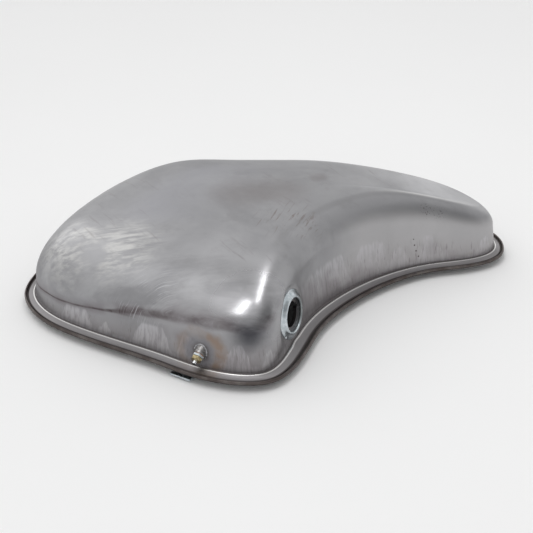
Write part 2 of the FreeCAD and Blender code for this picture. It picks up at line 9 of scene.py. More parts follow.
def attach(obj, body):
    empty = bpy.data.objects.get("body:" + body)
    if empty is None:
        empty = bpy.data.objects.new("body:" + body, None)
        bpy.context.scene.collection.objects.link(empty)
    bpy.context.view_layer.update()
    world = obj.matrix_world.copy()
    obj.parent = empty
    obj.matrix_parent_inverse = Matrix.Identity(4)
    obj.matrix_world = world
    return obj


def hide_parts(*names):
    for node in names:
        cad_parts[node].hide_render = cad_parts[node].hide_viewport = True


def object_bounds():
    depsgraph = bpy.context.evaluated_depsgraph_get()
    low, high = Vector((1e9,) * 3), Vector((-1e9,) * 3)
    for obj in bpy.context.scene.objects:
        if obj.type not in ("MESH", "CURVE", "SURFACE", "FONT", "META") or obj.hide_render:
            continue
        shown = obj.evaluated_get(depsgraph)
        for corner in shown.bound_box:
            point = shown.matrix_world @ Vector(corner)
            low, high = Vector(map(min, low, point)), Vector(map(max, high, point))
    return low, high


# A bare pressed-steel fuel tank. Most CAD nodes are shown as they are. The upper shell, the bottom pan and
# the filler's ring are made again here as finer skins with the CAD's dimensions, and the weld round the
# outlet is added. Shapes and places are in millimetres and become metres when a mesh is made. Masks in
# the materials are in metres, because a shader's object coordinates are.

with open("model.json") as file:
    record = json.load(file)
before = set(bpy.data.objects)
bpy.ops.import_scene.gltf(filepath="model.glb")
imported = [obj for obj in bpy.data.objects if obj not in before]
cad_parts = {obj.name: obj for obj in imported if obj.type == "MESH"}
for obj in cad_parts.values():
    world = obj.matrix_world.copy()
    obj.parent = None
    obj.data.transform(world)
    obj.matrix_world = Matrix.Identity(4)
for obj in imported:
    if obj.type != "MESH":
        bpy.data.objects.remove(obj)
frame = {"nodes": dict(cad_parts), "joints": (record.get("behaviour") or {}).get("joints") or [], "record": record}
cad_low, cad_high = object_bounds()

MM = 0.001
ROUND_STEPS = 560      # columns round the tank's outline
WALL_ROWS = 16         # rows up the wall, and then over the shoulder and across the crown
SHOULDER_ROWS = 26
CROWN_ROWS = 34
FLOOR_ROWS = 64        # rows across the pan's floor, below and above
FLOOR_TOP_ROWS = 36
NECK_STEPS = 192       # columns round the filler's ring
CURVE_CUTS = 3         # points in each span of a rounded profile

# ------------------------------------------------------------------ dimensions shared with the CAD

SHEET = 1.0
SEAM_Z = 13.0
DRAFT = math.radians(8)
CROWN_Z = 112.0
DOME_CENTRE = np.array([12.0, 38.0])

# The crown falls by a rate in 1/mm times the square of the distance past a line, or from the middle.
TAIL_WAY = math.radians(45)
TAIL_ROOT = (10, -14)
TAIL_START = 80
TAIL_FALL = 0.0010
LEFT_FALL = 0.00016
FRONT_START = -24
FRONT_FALL = 0.0004
MIDDLE_FALL = 0.00004

# Stations round the tank: wall foot x, y; inner end of the shoulder x, y; wall-top height; flange width.
STATIONS = np.array([
    (-185, -210, -140, -152, 38, 13),
    (-110, -226, -85, -132, 46, 14),
    (0, -227, -5, -122, 55, 15),
    (78, -224, 44, -120, 58, 15),
    (114, -203, 57, -110, 62, 16),
    (117, -159, 60, -92, 70, 19),
    (108, -94, 59, -62, 79, 20),
    (116, -20, 68, -4, 80, 19),
    (145, 54, 102, 76, 76, 16),
    (188, 110, 152, 123, 62, 13),
    (224, 143, 195, 158, 50, 13),
    (241, 178, 212, 181, 46, 13),
    (231, 203, 207, 195, 44, 13),
    (188, 224, 171, 200, 46, 14),
    (105, 202, 98, 160, 53, 15),
    (10, 164, 16, 118, 61, 15),
    (-100, 116, -80, 68, 61, 15),
    (-178, 74, -142, 36, 56, 15),
    (-219, 10, -160, -20, 46, 14),
    (-235, -74, -163, -78, 36, 13),
    (-229, -149, -162, -120, 34, 13),
    (-214, -186, -155, -142, 35, 13),
], float)
FOOT = STATIONS[:, 0:2]
SHOULDER_END = STATIONS[:, 2:4]
WALL_TOP = STATIONS[:, 4]
FLANGE = STATIONS[:, 5]
REACH = np.linalg.norm(SHOULDER_END - FOOT, axis=1)
INWARD = (SHOULDER_END - FOOT) / REACH[:, None]

# Profiles across the rim as (share of the flange's width, height), except PAN_UNDER and PAN_OVER, which
# are (distance outwards from the wall's foot, height) on the pan's two sides.
SHELL_FLANGE = [(0.72, 10.6), (0.6, 10.8), (0.5, 11.15), (0.38, 11.8), (0.26, 12.5), (0.21, 12.95),
                (0.17, 13.45), (0.12, 13.75), (0.07, 13.7), (0.03, 13.3), (0.0, 13.3)]
PAN_INSET = 24.0       # from the wall's foot in to the edge of the flat floor, below and above
PAN_TOP_INSET = 24.4
PAN_UNDER = [(-22.5, 0.35), (-20.0, 1.6), (-6.0, 9.2), (-2.0, 11.0)]
PAN_OVER = [(-2.5, 12.0), (-6.5, 10.2), (-20.4, 2.5)]
PAN_LAND = [(0.0, 11.0), (0.08, 11.7), (0.16, 11.6), (0.26, 10.6), (0.5, 9.2)]
PAN_LIP = [(0.72, 8.6), (0.76, 8.5), (0.8, 8.9), (0.83, 8.7), (0.86, 8.15), (0.91, 8.0), (0.96, 8.1),
           (1.0, 8.6), (1.02, 9.6), (1.02, 10.6), (1.0, 11.6), (0.97, 12.2), (0.935, 12.5), (0.9, 12.5),
           (0.86, 12.2), (0.83, 11.4), (0.81, 10.4), (0.78, 9.8), (0.72, 9.6)]

# Ribs pressed up in the pan's floor: start x, y and end x, y of each middle line.
RIBS = [
    (-130, -165, 6, -165),
    (-150, -95, 40, -95),
    (-150, -20, 60, -20),
    (-60, 45, 90, 45),
    (122, 121, 182, 175),
]
RIB_TOP_R = 4.0        # half widths at the rib's flat top and at its foot
RIB_FOOT_R = 10.0
RIB_HEIGHT = 3.0

mounts = {m["name"]: m for m in frame["record"]["mounts"]}
joint = frame["joints"][0]
MOUTH_DEPTH = 1.6      # from the filler's seat in to the mouth's mount
FILLER_AXIS = Vector(mounts["filler_mouth"]["axis"]).normalized()
FILLER_AT = Vector(mounts["filler_mouth"]["pos_m"]) / MM + FILLER_AXIS * MOUTH_DEPTH
FILLER_TURN = FILLER_AXIS.to_track_quat("Z", "Y").to_matrix()
FILLER_HOLE_R = 21     # hole in the wall behind the filler's ring
SEAT_FLAT_R = 30.8     # the seat is flat out to here and blends into the wall by the second radius
SEAT_BLEND_R = 37.5
SEAT_REACH = 20        # how far from its plane the seat takes in the wall
OUTLET_AXIS = Vector(joint["axis"]).normalized()
OUTLET_AT = Vector(joint["pos_m"]) / MM
BOSS_R = 7.5           # outlet boss


# ------------------------------------------------------------------ the tank's surface

def crown_height(x, y):
    """Height of the crown, which falls away along the tail, to the left, to the front and all round."""
    along = (x - TAIL_ROOT[0]) * math.cos(TAIL_WAY) + (y - TAIL_ROOT[1]) * math.sin(TAIL_WAY)
    tail = np.maximum(0.0, along - TAIL_START)
    left = np.maximum(0.0, -x)
    front = np.maximum(0.0, FRONT_START - y)
    middle = (x - DOME_CENTRE[0]) ** 2 + (y - DOME_CENTRE[1]) ** 2
    return CROWN_Z - TAIL_FALL * tail**2 - LEFT_FALL * left**2 - FRONT_FALL * front**2 - MIDDLE_FALL * middle


def spline_tools(steps):
    """Weights that turn one value a station into a closed cubic spline, and its slope at the stations."""
    n = len(FOOT)
    gaps = np.linalg.norm(np.roll(FOOT, -1, 0) - FOOT, axis=1)
    knots = np.concatenate([[0.0], np.cumsum(gaps)])
    ahead = np.roll(np.eye(n), 1, 1)
    behind = np.roll(np.eye(n), -1, 1)
    here = np.eye(n)
    before = np.roll(gaps, 1)
    left = before[:, None] * behind + 2 * (before + gaps)[:, None] * here + gaps[:, None] * ahead
    right = 6 * ((ahead - here) / gaps[:, None] - (here - behind) / before[:, None])
    bend = np.linalg.solve(left, right)
    slope = (ahead - here) / gaps[:, None] - gaps[:, None] * (2 * bend + np.roll(bend, -1, 0)) / 6
    rows = []
    for t in np.linspace(0, knots[-1], steps, endpoint=False):
        i = int(np.searchsorted(knots, t, "right") - 1)
        j = (i + 1) % n
        h = gaps[i]
        a = knots[i + 1] - t
        b = t - knots[i]
        curve = bend[i] * (a**3 / h - a * h) / 6 + bend[j] * (b**3 / h - b * h) / 6
        rows.append(curve + here[i] * a / h + here[j] * b / h)
    return np.array(rows), slope


SPREAD, SLOPE = spline_tools(ROUND_STEPS)
TANGENT = SLOPE @ FOOT
NORMAL = np.stack([TANGENT[:, 1], -TANGENT[:, 0]], 1)
NORMAL /= np.linalg.norm(NORMAL, axis=1)[:, None]


def lean(z):
    """How far the wall leans in at a height."""
    return math.tan(DRAFT) * (z - SEAM_Z)


# A row is one point a station. SPREAD turns it into ROUND_STEPS points on a closed spline.

def wall_row(share):
    """A row of the wall, from its foot at 0 to its top at 1."""
    z = SEAM_Z + (WALL_TOP - SEAM_Z) * share
    return np.column_stack([FOOT + INWARD * lean(z)[:, None], z])


def shoulder_row(turn):
    """A row of the rounded shoulder, turned from 0 at the wall's top to a right angle at the crown."""
    start = lean(WALL_TOP)
    corner = FOOT + INWARD * start[:, None]
    drop = crown_height(corner[:, 0], corner[:, 1]) - WALL_TOP
    plan = FOOT + INWARD * (start + (REACH - start) * (1 - math.cos(turn)))[:, None]
    z = crown_height(plan[:, 0], plan[:, 1]) - drop * (1 - math.sin(turn))
    return np.column_stack([plan, z])


def crown_row(share):
    """A row of the crown, from the shoulder's inner end at 0 to the middle at 1."""
    plan = SHOULDER_END + (DOME_CENTRE - SHOULDER_END) * share
    return np.column_stack([plan, crown_height(plan[:, 0], plan[:, 1])])


def offset_row(distance, z):
    """A level row outwards from the wall's foot by a distance, one number or one a station."""
    plan = FOOT + NORMAL * np.broadcast_to(distance, len(FOOT))[:, None]
    return np.column_stack([plan, np.full(len(FOOT), z)])


def flange_row(share, z):
    """A level row at a share of the flange's width."""
    return offset_row(share * FLANGE, z)


# ------------------------------------------------------------------ meshes

def new_object(name, points, faces):
    """A smooth-shaded mesh from points in millimetres."""
    mesh = bpy.data.meshes.new(name)
    mesh.from_pydata([tuple(p) for p in np.asarray(points) * MM], [], faces)
    mesh.polygons.foreach_set("use_smooth", [True] * len(mesh.polygons))
    mesh.update()
    made = bpy.data.objects.new(name, mesh)
    bpy.context.scene.collection.objects.link(made)
    return made


def loop_faces(row_count, columns, start_cap, end_cap):
    """Quads between closed rows of points, with a fan to one added point at either end."""
    faces = []
    for i in range(row_count - 1):
        a = i * columns
        b = a + columns
        for j in range(columns):
            k = (j + 1) % columns
            faces.append((a + j, a + k, b + k, b + j))
    tip = row_count * columns
    last = (row_count - 1) * columns
    if start_cap:
        faces += [(tip, (j + 1) % columns, j) for j in range(columns)]
        tip += 1
    if end_cap:
        faces += [(tip, last + j, last + (j + 1) % columns) for j in range(columns)]
    return faces


def add_attribute(made, name, values):
    """Stores one number a point, for the materials to read."""
    attribute = made.data.attributes.new(name, "FLOAT", "POINT")
    attribute.data.foreach_set("value", np.asarray(values, np.float32))


def turned(name, profile, turn, at, steps):
    """A surface of revolution from a closed outline of (radius, height) points."""
    points = []
    for r, z in profile:
        for j in range(steps):
            angle = 2 * math.pi * j / steps
            points.append(turn @ Vector((r * math.cos(angle), r * math.sin(angle), z)) + at)
    faces = loop_faces(len(profile), steps, False, False)
    last = (len(profile) - 1) * steps
    for j in range(steps):
        k = (j + 1) % steps
        faces.append((last + j, last + k, k, j))
    return new_object(name, points, faces)


def rounded(profile):
    """A closed outline of points made smooth by a Catmull-Rom curve."""
    out = []
    n = len(profile)
    for i in range(n):
        p0, p1, p2, p3 = (np.array(profile[(i + k) % n]) for k in (-1, 0, 1, 2))
        for s in range(CURVE_CUTS):
            t = s / CURVE_CUTS
            out.append(0.5 * (2 * p1 + (p2 - p0) * t + (2 * p0 - 5 * p1 + 4 * p2 - p3) * t**2
                              + (3 * p1 - p0 - 3 * p2 + p3) * t**3))
    return out


def smoothstep(low, high, value):
    t = np.clip((value - low) / (high - low), 0, 1)
    return t * t * (3 - 2 * t)


# ------------------------------------------------------------------ upper shell

# Slight unevenness of the drawn sheet, in layers of (scale, shift, height) on one wavelength.
WAVE_LENGTH = 46
WAVES = ((1.0, (0, 0, 0), 0.22), (2.6, (7, 3, 1), 0.07))


def shell_rows():
    """Rows from the flange's edge up to the crown, and each row's rise.

    The rise is -1 at the flange's edge, 0 at the wall's foot, 1 at its top, 2 where the crown begins and
    3 in the middle. The materials read it.
    """
    rows = [(flange_row(share, z), -1 + i / len(SHELL_FLANGE)) for i, (share, z) in enumerate(SHELL_FLANGE)]
    for share in np.linspace(0.04, 1, WALL_ROWS):
        rows.append((wall_row(share), share))
    for degrees in np.linspace(4, 88, SHOULDER_ROWS):
        rows.append((shoulder_row(math.radians(degrees)), 1 + degrees / 90))
    for share in np.linspace(0.0, 0.985, CROWN_ROWS):
        rows.append((crown_row(share), 2 + share))
    return rows


def press_seat(points):
    """Flattens the wall into a round seat square to the filler's axis, and gives each point's radius.

    The radius is infinite for points too far from the seat's plane to belong to the wall there.
    """
    axis = np.array(FILLER_AXIS)
    reach = points - np.array(FILLER_AT)
    depth = reach @ axis
    radius = np.linalg.norm(reach - depth[:, None] * axis, axis=1)
    near = np.abs(depth) < SEAT_REACH
    share = (1 - smoothstep(SEAT_FLAT_R, SEAT_BLEND_R, radius)) * near
    return points - axis * (depth * share)[:, None], np.where(near, radius, np.inf)


def sheet_waves(points, rise):
    """How far each point stands out along the surface's normal. The rim and the wall's foot stay put."""
    out = np.zeros(len(points))
    for i, p in enumerate(points):
        spot = Vector(p) / WAVE_LENGTH
        out[i] = sum(noise.noise(spot * scale + Vector(shift)) * height for scale, shift, height in WAVES)
    return out * smoothstep(0.15, 0.6, rise)


def upper_shell():
    rows = shell_rows()
    tip = np.array([[*DOME_CENTRE, CROWN_Z]])
    points = np.concatenate([SPREAD @ row for row, _ in rows] + [tip])
    rise = np.append(np.repeat([r for _, r in rows], ROUND_STEPS), 3.0)
    faces = loop_faces(len(rows), ROUND_STEPS, False, True)
    plain = new_object("plain_shell", points, faces)
    normals = np.array([v.normal for v in plain.data.vertices])
    bpy.data.objects.remove(plain)
    points = points + normals * sheet_waves(points, rise)[:, None]
    points, radius = press_seat(points)
    faces = [f for f in faces if min(radius[i] for i in f) > FILLER_HOLE_R]
    shell = new_object("tank_shell", points, faces)
    add_attribute(shell, "rise", rise)
    solid = shell.modifiers.new("sheet", "SOLIDIFY")
    solid.thickness = SHEET * MM
    solid.offset = -1
    return shell


# ------------------------------------------------------------------ bottom pan

def rib_height(plan):
    """How far the floor is pressed up at points in plan."""
    height = np.zeros(len(plan))
    for x0, y0, x1, y1 in RIBS:
        start = np.array([x0, y0])
        run = np.array([x1, y1]) - start
        share = np.clip((plan - start) @ run / (run @ run), 0, 1)
        away = np.linalg.norm(plan - start - share[:, None] * run, axis=1)
        height = np.maximum(height, RIB_HEIGHT * (1 - smoothstep(RIB_TOP_R, RIB_FOOT_R, away)))
    return height


def floor_rows(z, inset, count):
    """Rows of the pan's floor from near the middle out to its edge."""
    edge = offset_row(-inset, z)
    middle = np.array([*DOME_CENTRE, z])
    return [SPREAD @ (middle + (edge - middle) * share) for share in np.linspace(0.02, 1, count)]


def bottom_pan():
    """The pan from the middle of its underside out round the rolled lip and back over its inside."""
    under = floor_rows(0.0, PAN_INSET, FLOOR_ROWS)
    under += [SPREAD @ offset_row(d, z) for d, z in PAN_UNDER]
    under += [SPREAD @ flange_row(share, z) for share, z in PAN_LAND]
    lip = [SPREAD @ flange_row(share, z) for share, z in rounded(PAN_LIP)[:-CURVE_CUTS]]
    over = [SPREAD @ flange_row(share, z + SHEET) for share, z in reversed(PAN_LAND)]
    over += [SPREAD @ offset_row(d, z) for d, z in PAN_OVER]
    over += list(reversed(floor_rows(SHEET, PAN_TOP_INSET, FLOOR_TOP_ROWS)))
    rows = under + lip + over
    points = np.concatenate(rows + [np.array([[*DOME_CENTRE, 0.0], [*DOME_CENTRE, SHEET]])])
    floor = points[:, 2] < SHEET + 0.01
    points[floor, 2] += rib_height(points[floor, :2])
    pan = new_object("tank_pan", points, loop_faces(len(rows), ROUND_STEPS, True, True))
    on_lip = np.zeros(len(points))
    on_lip[len(under) * ROUND_STEPS:(len(under) + len(lip)) * ROUND_STEPS] = 1
    add_attribute(pan, "lip", on_lip)
    return pan


# ------------------------------------------------------------------ filler neck

# The ring's closed outline as (radius, height above the seat).
NECK_OUTSIDE = [
    (29.0, 0.02), (29.0, 0.55), (28.7, 0.9), (27.6, 1.05), (26.4, 1.35), (25.2, 2.1), (24.2, 3.05),
    (23.2, 4.1), (22.3, 4.8), (21.4, 5.12), (20.6, 5.1), (19.95, 4.75), (19.55, 4.1), (19.42, 3.4),
    (19.42, 1.4), (19.42, -0.7), (20.38, -0.7), (20.4, 1.4), (20.5, 3.2), (21.0, 3.8), (22.0, 3.6),
    (22.9, 2.8), (24.0, 1.6), (25.2, 0.6), (26.4, 0.08), (27.6, 0.02),
]
DENT_ANGLES = [math.radians(40 + 90 * i) for i in range(4)]
DENT_CIRCLE_R = 27.6
DENT_R = 2.2
DENT_DEPTH = 0.5
OUTER_FACE = 0.6       # points higher than this are on the ring's outer face


def neck_ring():
    """The filler's pressed ring, with the dents of its four spot welds."""
    ring = turned("neck_flange", rounded(NECK_OUTSIDE), FILLER_TURN, FILLER_AT, NECK_STEPS)
    dents = [FILLER_TURN @ Vector((DENT_CIRCLE_R * math.cos(a), DENT_CIRCLE_R * math.sin(a), 0)) + FILLER_AT
             for a in DENT_ANGLES]
    for v in ring.data.vertices:
        spot = v.co / MM
        height = (spot - FILLER_AT).dot(FILLER_AXIS)
        near = min((spot - FILLER_AXIS * height - d).length for d in dents)
        if height > OUTER_FACE and near < DENT_R:
            v.co -= FILLER_AXIS * (DENT_DEPTH * MM * (1 - (near / DENT_R) ** 2))
    return ring


# ------------------------------------------------------------------ outlet

BEAD_STEPS = 96        # points round the boss and round the bead's section
BEAD_SECTION = 12
BEAD_R = 1.25
BEAD_FLATNESS = 0.8
BEAD_RIPPLES = 16
RIPPLE_HEIGHT = 0.14
SWELL_HEIGHT = 0.1     # a slower unevenness under the ripples
SWELL_TURN = 0.9


def weld_bead():
    """The fillet of weld round the outlet boss, with the ripples of its run."""
    turn = OUTLET_AXIS.to_track_quat("Z", "Y").to_matrix()
    wall = Vector((0, -math.cos(DRAFT), math.sin(DRAFT)))
    slope = wall.dot(OUTLET_AXIS)
    points = []
    for j in range(BEAD_STEPS):
        angle = 2 * math.pi * j / BEAD_STEPS
        side = turn @ Vector((math.cos(angle), math.sin(angle), 0))
        start = OUTLET_AT + side * BOSS_R
        foot = start + OUTLET_AXIS * (-(start - OUTLET_AT).dot(wall) / slope)
        ripple = RIPPLE_HEIGHT * math.sin(j * math.pi * 2 * BEAD_RIPPLES / BEAD_STEPS)
        radius = BEAD_R + ripple + SWELL_HEIGHT * math.sin(j * SWELL_TURN)
        out = (side - wall * side.dot(wall)).normalized()
        for k in range(BEAD_SECTION):
            angle = 2 * math.pi * k / BEAD_SECTION
            points.append(foot + out * (radius * math.cos(angle))
                          + wall * (BEAD_FLATNESS * radius * math.sin(angle)))
    faces = []
    for j in range(BEAD_STEPS):
        a, b = j * BEAD_SECTION, (j + 1) % BEAD_STEPS * BEAD_SECTION
        for k in range(BEAD_SECTION):
            m = (k + 1) % BEAD_SECTION
            faces.append((a + k, b + k, b + m, a + m))
    return new_object("outlet_weld", points, faces)


# ------------------------------------------------------------------ materials

class Paint:
    """A material's node tree, built up by small calls. Sockets are passed as values or as links.

    colour is the base colour so far, which lay() adds to. A mask is a number from 0 to 1 at each point.
    """

    def __init__(self, name):
        self.material = bpy.data.materials.new(name)
        self.material.use_nodes = True
        self.tree = self.material.node_tree
        self.tree.nodes.clear()
        self.shader = self.tree.nodes.new("ShaderNodeBsdfPrincipled")
        output = self.tree.nodes.new("ShaderNodeOutputMaterial")
        self.tree.links.new(self.shader.outputs[0], output.inputs[0])
        self.place = self.tree.nodes.new("ShaderNodeTexCoord").outputs["Object"]
        self.colour = None

    def put(self, socket, value):
        if isinstance(value, bpy.types.NodeSocket):
            self.tree.links.new(value, socket)
        else:
            socket.default_value = value

    def set(self, name, value):
        self.put(self.shader.inputs[name], value)

    def math(self, operation, a, b=0.5, c=0.5, clamp=False):
        node = self.tree.nodes.new("ShaderNodeMath")
        node.operation = operation
        node.use_clamp = clamp
        for socket, value in zip(node.inputs, (a, b, c)):
            self.put(socket, value)
        return node.outputs[0]

    def band(self, value, low, high):
        """0 below low, 1 above high, smooth between; high below low turns it round."""
        node = self.tree.nodes.new("ShaderNodeMapRange")
        node.interpolation_type = "SMOOTHSTEP"
        flip = high < low
        for i, v in enumerate((value, min(low, high), max(low, high), float(flip), float(not flip))):
            self.put(node.inputs[i], v)
        return node.outputs[0]

    def stretch(self, factors):
        """The place with each axis scaled; a factor near 0 draws a noise out along its axis."""
        node = self.tree.nodes.new("ShaderNodeVectorMath")
        node.operation = "MULTIPLY"
        self.put(node.inputs[0], self.place)
        self.put(node.inputs[1], factors)
        return node.outputs[0]

    def away(self, place):
        """Distance in metres from a place in millimetres."""
        node = self.tree.nodes.new("ShaderNodeVectorMath")
        node.operation = "DISTANCE"
        self.put(node.inputs[0], self.place)
        self.put(node.inputs[1], tuple(Vector(place) * MM))
        return node.outputs["Value"]

    def noise(self, scale, detail=3.0, rough=0.5, vector=None, twist=0.0):
        """Noise round 0.5, of about scale lumps a metre."""
        node = self.tree.nodes.new("ShaderNodeTexNoise")
        self.put(node.inputs["Vector"], self.place if vector is None else vector)
        self.put(node.inputs["Scale"], scale)
        self.put(node.inputs["Detail"], detail)
        self.put(node.inputs["Roughness"], rough)
        self.put(node.inputs["Distortion"], twist)
        return node.outputs[0]

    def mix(self, a, b, share):
        """Colour a where the share is 0 and b where it is 1."""
        node = self.tree.nodes.new("ShaderNodeMix")
        node.data_type = "RGBA"
        self.put(node.inputs[0], share)
        self.put(node.inputs[6], a if isinstance(a, bpy.types.NodeSocket) else (*a, 1.0))
        self.put(node.inputs[7], b if isinstance(b, bpy.types.NodeSocket) else (*b, 1.0))
        return node.outputs[2]

    def attribute(self, name):
        node = self.tree.nodes.new("ShaderNodeAttribute")
        node.attribute_name = name
        return node.outputs["Fac"]

    def axis(self, index):
        node = self.tree.nodes.new("ShaderNodeSeparateXYZ")
        self.put(node.inputs[0], self.place)
        return node.outputs[index]

    def times(self, first, *others):
        """The product of some masks."""
        for other in others:
            first = self.math("MULTIPLY", first, other)
        return first

    def scaled(self, value, share, start=None):
        """The value times the share, from a start if one is given."""
        if start is None:
            return self.math("MULTIPLY", value, share)
        return self.math("MULTIPLY_ADD", value, share, start)

    def off(self, value, middle):
        """How far a value is from a middle, either way."""
        return self.math("ABSOLUTE", self.math("SUBTRACT", value, middle))

    def most(self, masks):
        """The strongest of some masks."""
        first, *others = masks
        for other in others:
            first = self.math("MAXIMUM", first, other)
        return first

    def lay(self, tone, mask):
        """Lays a colour of TONES over what is there, as strongly as TONES says, where the mask is 1."""
        colour, share = TONES[tone]
        self.colour = self.mix(self.colour, colour, self.scaled(mask, share))

    def away_from(self, place, scale, wander):
        """Distance in metres from a place in millimetres, with an uneven edge."""
        uneven = self.scaled(self.noise(scale, 3, 0.6), wander, -wander / 2)
        return self.math("ADD", self.away(place), uneven)

    def mapped(self, turn, factors):
        """The place turned about +Z by an angle in degrees, then stretched."""
        node = self.tree.nodes.new("ShaderNodeMapping")
        node.vector_type = "TEXTURE"
        self.put(node.inputs["Vector"], self.place)
        self.put(node.inputs["Rotation"], (0, 0, math.radians(turn)))
        self.put(node.inputs["Scale"], tuple(1 / f for f in factors))
        return node.outputs[0]

    def ripples(self, value, scale):
        """Noise along one number only, so that it makes rings round a place."""
        node = self.tree.nodes.new("ShaderNodeTexNoise")
        node.noise_dimensions = "1D"
        self.put(node.inputs["W"], value)
        self.put(node.inputs["Scale"], scale)
        return node.outputs[0]

    def bump(self, height, depth, strength=1.0, under=None):
        """A normal from a height of 0 to 1 over a depth in metres, on top of the normal under it."""
        node = self.tree.nodes.new("ShaderNodeBump")
        self.put(node.inputs["Height"], height)
        self.put(node.inputs["Distance"], depth)
        self.put(node.inputs["Strength"], strength)
        if under is not None:
            self.put(node.inputs["Normal"], under)
        return node.outputs[0]


FINE_GRAIN = 0.00002   # depth of the bump, in metres


def metal(name, dark, light, rough_low, rough_high, scale=60, grain=FINE_GRAIN):
    """A metal mottled between two colours and two roughnesses, with a fine grain."""
    paint = Paint(name)
    mottle = paint.noise(scale, 4, 0.6)
    fine = paint.noise(scale * 9, 3, 0.6)
    paint.set("Base Color", paint.mix(dark, light, paint.band(mottle, 0.3, 0.7)))
    paint.set("Metallic", 1.0)
    paint.set("Roughness", paint.scaled(paint.noise(scale * 0.6, 3), rough_high - rough_low, rough_low))
    paint.set("Normal", paint.bump(fine, grain))
    return paint.material


def zinc_plating():
    """Bluish bright plating, with painted shade on the filler's side that faces the tail."""
    paint = Paint("zinc_plating")
    mottle = paint.band(paint.noise(160, 4, 0.6), 0.3, 0.7)
    paint.colour = paint.mix((0.44, 0.5, 0.53), (0.68, 0.72, 0.75), mottle)
    past = paint.math("SUBTRACT", paint.axis(1), FILLER_AT.y * MM)
    at_filler = paint.band(paint.away(FILLER_AT), 0.05, 0.04)
    # Painted shade on the ring's side that faces the tail.
    paint.lay("shaded zinc", paint.times(paint.band(past, 0.008, 0.019), at_filler))
    paint.set("Base Color", paint.colour)
    paint.set("Metallic", 1.0)
    paint.set("Roughness", paint.scaled(paint.noise(96, 3), 0.22, 0.18))
    paint.set("Normal", paint.bump(paint.noise(1400, 3, 0.6), FINE_GRAIN))
    return paint.material


# Marks on the shell, as places on its surface.
STAIN_AND_REFLECTION_BLOB = (99, -208, 64)
POLISHED_AND_HIGHLIGHT = ((-150, -178, 90), (-96, -166, 98))
SWIRLS = (-34, -208, 70)
SWIRL_CENTRE = (28, -238, 35)
CORNER = (92, -190, 84)
SCRATCHES = (56, -38, 112)
SMUDGES = (((39, 80, 112), 0.016), ((-27, -7, 112), 0.055), ((12, 20, 112), 0.05))   # place, reach in m
PITS = ((164, 92, 50), (166, 92, 42), (168, 93, 34), (171, 95, 26))
SPECKS = ((171, 112, 83), (185, 122, 79))

# Soft-edged regions of the shell. A region is where every one of its rows holds: a row is 0 at the first
# figure and 1 from the second on, along the rise (see shell_rows) or along x or y in metres.
REGIONS = {
    "left crown": (("rise", 2.05, 2.3), ("x", 0.0, -0.12)),
    "tail crest": (("rise", 1.86, 1.97), ("rise", 2.12, 2.0), ("x", 0.1, 0.15), ("y", 0.2, 0.12)),
    "side wall": (("rise", 0.02, 0.25), ("rise", 1.5, 1.2), ("x", 0.1, 0.125), ("y", -0.13, -0.09)),
    "side dark reflection": (("x", 0.05, 0.07), ("y", -0.13, -0.08)),
    "wall": (("rise", -0.05, 0.02), ("rise", 1.02, 0.8)),
    "wall foot": (("rise", 0.9, 0.0),),
    "below the wall's top": (("rise", 0.75, 0.4),),
    "left end": (("rise", -0.05, 0.02), ("rise", 1.75, 1.2), ("x", -0.17, -0.222)),
    "front": (("y", -0.17, -0.195), ("x", 0.125, 0.108)),
    "front shoulder": (("y", -0.12, -0.16), ("rise", 0.95, 1.15), ("rise", 2.1, 1.8)),
    "shoulder band": (("y", -0.13, -0.155), ("x", -0.12, -0.06), ("x", 0.09, 0.06)),
    "top": (("rise", 1.5, 1.9),),
    "flange": (("rise", 0.0, -0.25), ("rise", -0.95, -0.8)),
    "seam bead highlight": (("rise", -0.55, -0.46), ("rise", -0.22, -0.3)),
    "shaded seam foot": (("rise", -0.24, -0.14), ("rise", 0.09, 0.0)),
    "shaded groove": (("rise", -0.86, -0.95),),
}

# Colours laid over the bare sheet, each with its strength.
STEEL_DARK = (0.3, 0.3, 0.31)
STEEL_LIGHT = (0.39, 0.388, 0.4)
TONES = {
    "smoke": ((0.23, 0.226, 0.23), 0.35),
    "lit left crown": ((0.36, 0.36, 0.385), 0.6),
    "painted crest highlight": ((0.6, 0.595, 0.585), 0.5),
    "lit side wall": ((0.52, 0.51, 0.515), 0.6),
    "draw mark": ((0.56, 0.552, 0.575), 0.7),
    "dark line": ((0.17, 0.155, 0.16), 0.5),
    "warm wall": ((0.33, 0.295, 0.295), 0.35),
    "wall shade": ((0.17, 0.15, 0.155), 0.45),
    "shaded left end": ((0.12, 0.118, 0.127), 0.7),
    "stain_and_dark_reflection": ((0.07, 0.05, 0.05), 0.85),
    "shade round the stain": ((0.17, 0.145, 0.155), 0.55),
    "stain and reflection blob": ((0.045, 0.046, 0.055), 0.9),
    "heat blue": ((0.15, 0.148, 0.165), 0.6),
    "heat brown": ((0.26, 0.18, 0.125), 0.7),
    "soot": ((0.1, 0.088, 0.085), 0.6),
    "rubbed": ((0.5, 0.5, 0.515), 0.4),
    "dulled": ((0.25, 0.25, 0.26), 0.45),
    "dark reflection band": ((0.22, 0.22, 0.225), 0.36),
    "polished_and_highlight": ((0.62, 0.615, 0.6), 0.7),
    "swirl": ((0.56, 0.56, 0.585), 0.6),
    "weld scale": ((0.22, 0.212, 0.215), 0.6),
    "seam bead highlight": ((0.72, 0.71, 0.7), 0.85),
    "shaded seam foot": ((0.08, 0.07, 0.07), 0.75),
    "shaded groove": ((0.05, 0.042, 0.04), 0.9),
    "rub mark": ((0.22, 0.2, 0.2), 0.4),
    "scratch": ((0.17, 0.115, 0.1), 0.62),
    "smudge": ((0.2, 0.178, 0.175), 0.35),
    "side dark reflection": ((0.25, 0.25, 0.255), 0.4),
    "pit": ((0.06, 0.045, 0.042), 0.85),
    "shaded zinc": ((0.16, 0.17, 0.165), 0.75),
    "shaded lip underside": ((0.045, 0.036, 0.032), 0.85),
}


